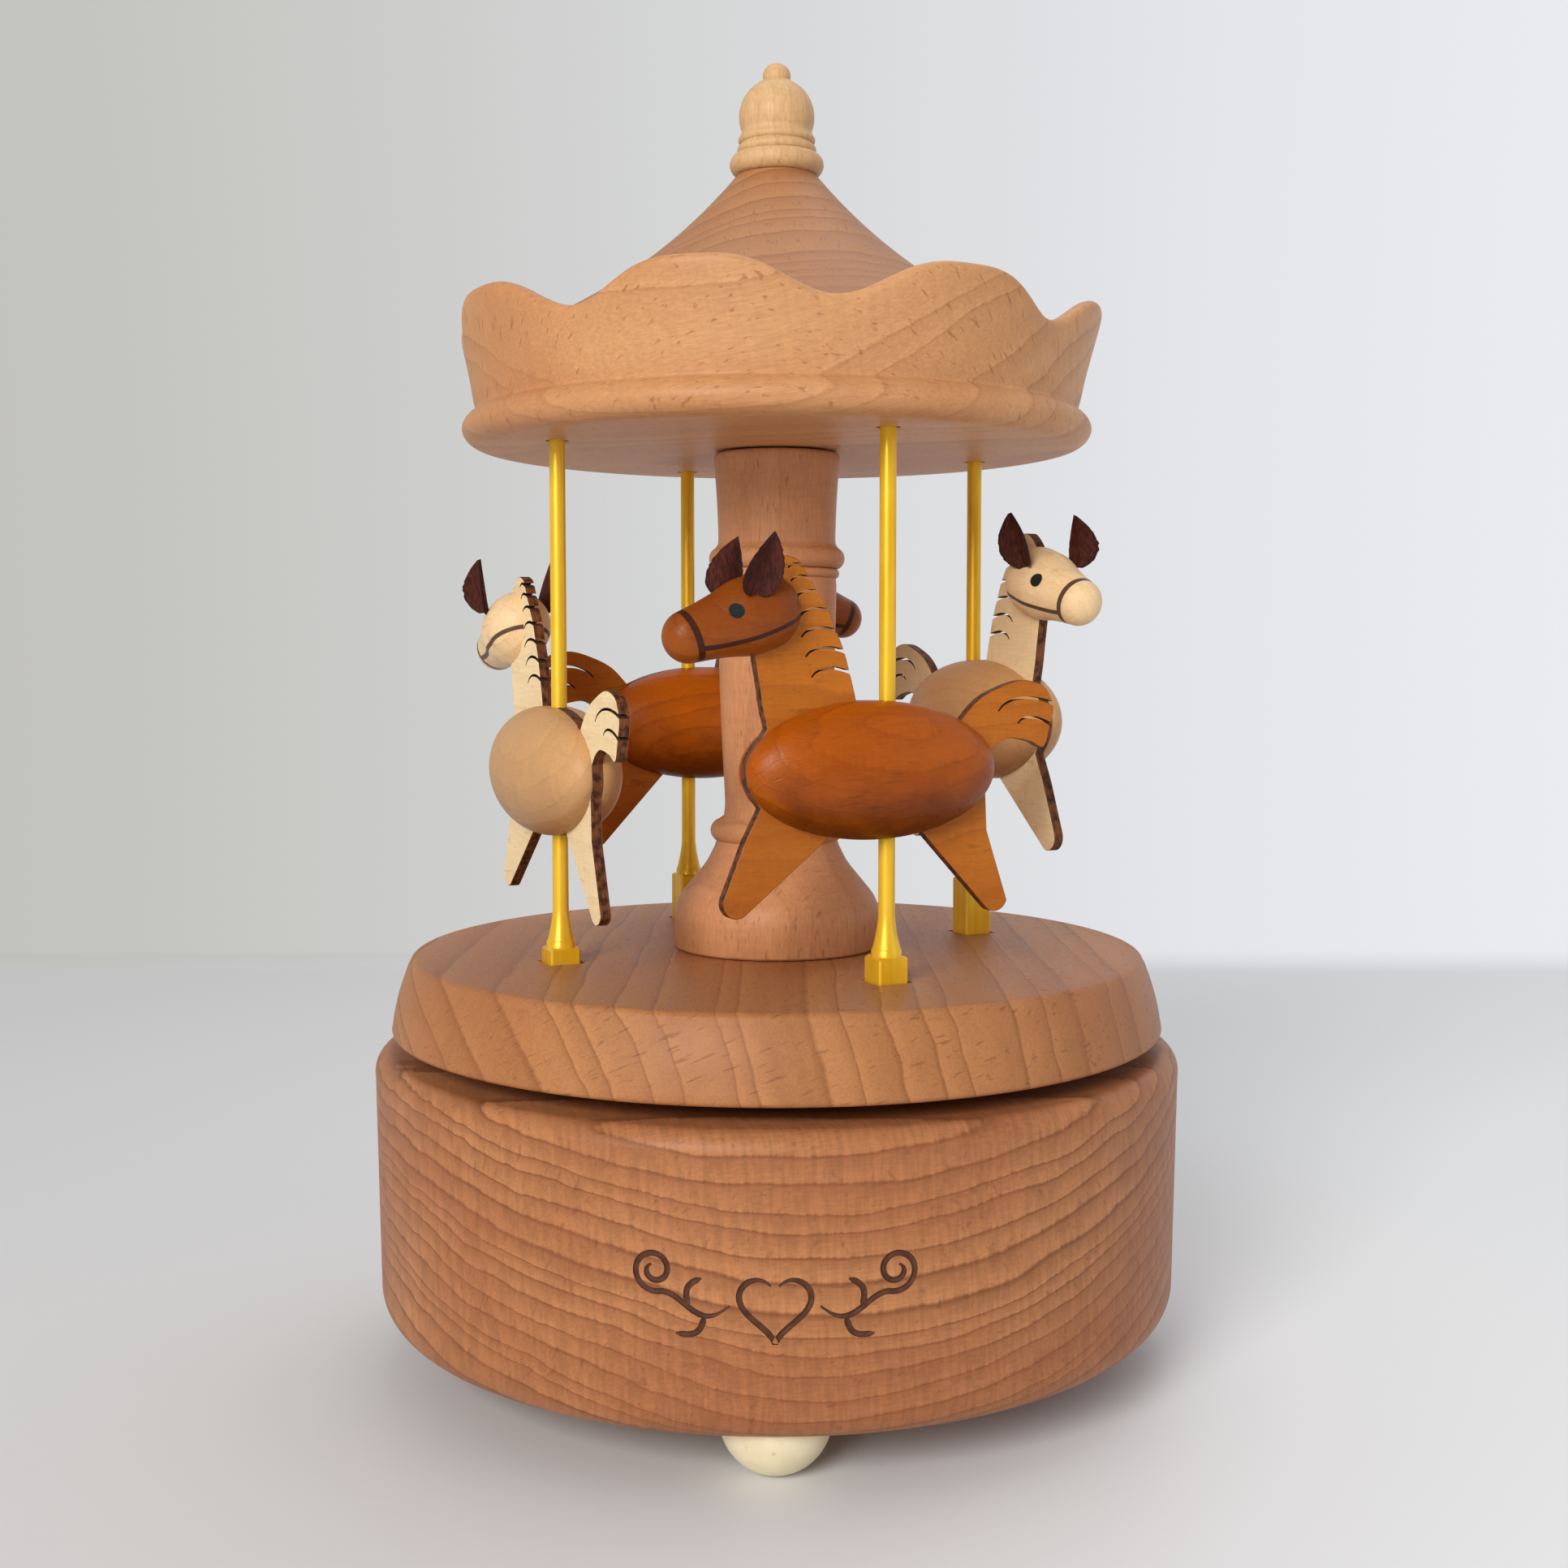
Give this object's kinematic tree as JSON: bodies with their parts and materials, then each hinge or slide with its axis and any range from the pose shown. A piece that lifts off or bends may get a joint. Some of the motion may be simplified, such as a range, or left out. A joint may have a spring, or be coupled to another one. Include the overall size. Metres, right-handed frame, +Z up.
{
  "type": "carousel music box",
  "caption": "Turned wooden carousel music box: a wind-up movement turns the platform, column and scalloped roof while rocking horses rise and fall on their poles.",
  "frame": {"origin": "on the turning axis at the floor, below the centre of the base", "axes": "+Z up along the turning axis, -Y to the front of the base, +X to the right seen from the front"},
  "size_m": [0.112, 0.112, 0.1793],
  "materials": {
    "beech": "waxed turned beech, satin",
    "pale_wood": "waxed natural wood, satin",
    "stained_wood": "orange-brown stain, satin",
    "plywood": "laser-cut birch plywood with burnt edges",
    "cream_wood": "natural wooden balls, satin",
    "leather": "dark brown leather, matt",
    "gold_plastic": "gold-coloured plastic, satin",
    "brass": "polished brass",
    "steel": "bright steel",
    "cast_frame": "die-cast frame, as cast"
  },
  "bodies": {
    "root": {"base_body": "beech", "bottom_cover": "pale_wood", "ball_foot_1": "cream_wood", "ball_foot_2": "cream_wood", "ball_foot_3": "cream_wood", "swash_hub": "brass", "bedplate": "cast_frame", "governor_housing": "brass", "comb": "steel", "comb_screw_1": "steel", "comb_screw_2": "steel", "cover_screw_1": "steel", "cover_screw_2": "steel"},
    "carousel": {"platform": "beech", "column": "beech", "canopy": "beech", "roof_cone": "beech", "finial": "pale_wood", "spring_barrel": "brass", "mainspring": "steel", "drive_spindle": "steel"},
    "drum": {"drum": "brass"},
    "key": {"winding_key": "brass"},
    "swash": {"swash_disc": "steel"},
    "foot_ball_1": {"foot_ball_1": "steel"},
    "foot_ball_2": {"foot_ball_2": "steel"},
    "foot_ball_3": {"foot_ball_3": "steel"},
    "foot_ball_4": {"foot_ball_4": "steel"},
    "horse_1": {"horse_1_profile": "stained_wood", "horse_1_flank_outer": "stained_wood", "horse_1_flank_inner": "stained_wood", "horse_1_head": "stained_wood", "horse_1_ear_outer": "leather", "horse_1_ear_inner": "leather", "horse_1_pole": "gold_plastic", "horse_1_pole_foot": "gold_plastic"},
    "horse_2": {"horse_2_profile": "plywood", "horse_2_flank_outer": "pale_wood", "horse_2_flank_inner": "pale_wood", "horse_2_head": "pale_wood", "horse_2_ear_outer": "leather", "horse_2_ear_inner": "leather", "horse_2_pole": "gold_plastic", "horse_2_pole_foot": "gold_plastic"},
    "horse_3": {"horse_3_profile": "stained_wood", "horse_3_flank_outer": "stained_wood", "horse_3_flank_inner": "stained_wood", "horse_3_head": "stained_wood", "horse_3_ear_outer": "leather", "horse_3_ear_inner": "leather", "horse_3_pole": "gold_plastic", "horse_3_pole_foot": "gold_plastic"},
    "horse_4": {"horse_4_profile": "plywood", "horse_4_flank_outer": "pale_wood", "horse_4_flank_inner": "pale_wood", "horse_4_head": "pale_wood", "horse_4_ear_outer": "leather", "horse_4_ear_inner": "leather", "horse_4_pole": "gold_plastic", "horse_4_pole_foot": "gold_plastic"}
  },
  "joints": [
    {"name": "turntable_spin", "type": "hinge", "parent": "root", "child": "carousel", "pos_m": [0, 0, 0.046], "axis": [0, 0, 1], "continuous": true},
    {"name": "drum_spin", "type": "hinge", "parent": "root", "child": "drum", "pos_m": [0.018, 0, 0.02548], "axis": [1, 0, 0], "continuous": true},
    {"name": "swash_turn", "type": "hinge", "parent": "root", "child": "swash", "pos_m": [0, 0, 0.04495], "axis": [-0.0597, -0.0937, 0.9938], "continuous": true},
    {"name": "foot_ball_turn_1", "type": "hinge", "parent": "swash", "child": "foot_ball_1", "pos_m": [0.01396, -0.02901, 0.04305], "axis": [-0.0597, -0.0937, 0.9938], "continuous": true},
    {"name": "horse_turn_1", "type": "hinge", "parent": "foot_ball_1", "child": "horse_1", "pos_m": [0.01396, -0.02901, 0.04305], "axis": [0, 0, 1], "continuous": true},
    {"name": "foot_ball_turn_2", "type": "hinge", "parent": "swash", "child": "foot_ball_2", "pos_m": [-0.02901, -0.01396, 0.04189], "axis": [-0.0597, -0.0937, 0.9938], "continuous": true},
    {"name": "horse_turn_2", "type": "hinge", "parent": "foot_ball_2", "child": "horse_2", "pos_m": [-0.02901, -0.01396, 0.04189], "axis": [0, 0, 1], "continuous": true},
    {"name": "foot_ball_turn_3", "type": "hinge", "parent": "swash", "child": "foot_ball_3", "pos_m": [-0.01396, 0.02901, 0.04685], "axis": [-0.0597, -0.0937, 0.9938], "continuous": true},
    {"name": "horse_turn_3", "type": "hinge", "parent": "foot_ball_3", "child": "horse_3", "pos_m": [-0.01396, 0.02901, 0.04685], "axis": [0, 0, 1], "continuous": true},
    {"name": "foot_ball_turn_4", "type": "hinge", "parent": "swash", "child": "foot_ball_4", "pos_m": [0.02901, 0.01396, 0.04801], "axis": [-0.0597, -0.0937, 0.9938], "continuous": true},
    {"name": "horse_turn_4", "type": "hinge", "parent": "foot_ball_4", "child": "horse_4", "pos_m": [0.02901, 0.01396, 0.04801], "axis": [0, 0, 1], "continuous": true},
    {"name": "key_turn", "type": "hinge", "parent": "root", "child": "key", "pos_m": [0, 0, 0.005], "axis": [0, 0, 1], "range_deg": [0, 1530]}
  ],
  "couplings": [
    {"joint": "drum_spin", "follows": "turntable_spin", "ratio": 3},
    {"joint": "swash_turn", "follows": "turntable_spin", "ratio": 1},
    {"joint": "foot_ball_turn_1", "follows": "turntable_spin", "ratio": -1},
    {"joint": "horse_turn_1", "follows": "turntable_spin", "ratio": 1},
    {"joint": "foot_ball_turn_2", "follows": "turntable_spin", "ratio": -1},
    {"joint": "horse_turn_2", "follows": "turntable_spin", "ratio": 1},
    {"joint": "foot_ball_turn_3", "follows": "turntable_spin", "ratio": -1},
    {"joint": "horse_turn_3", "follows": "turntable_spin", "ratio": 1},
    {"joint": "foot_ball_turn_4", "follows": "turntable_spin", "ratio": -1},
    {"joint": "horse_turn_4", "follows": "turntable_spin", "ratio": 1}
  ]
}
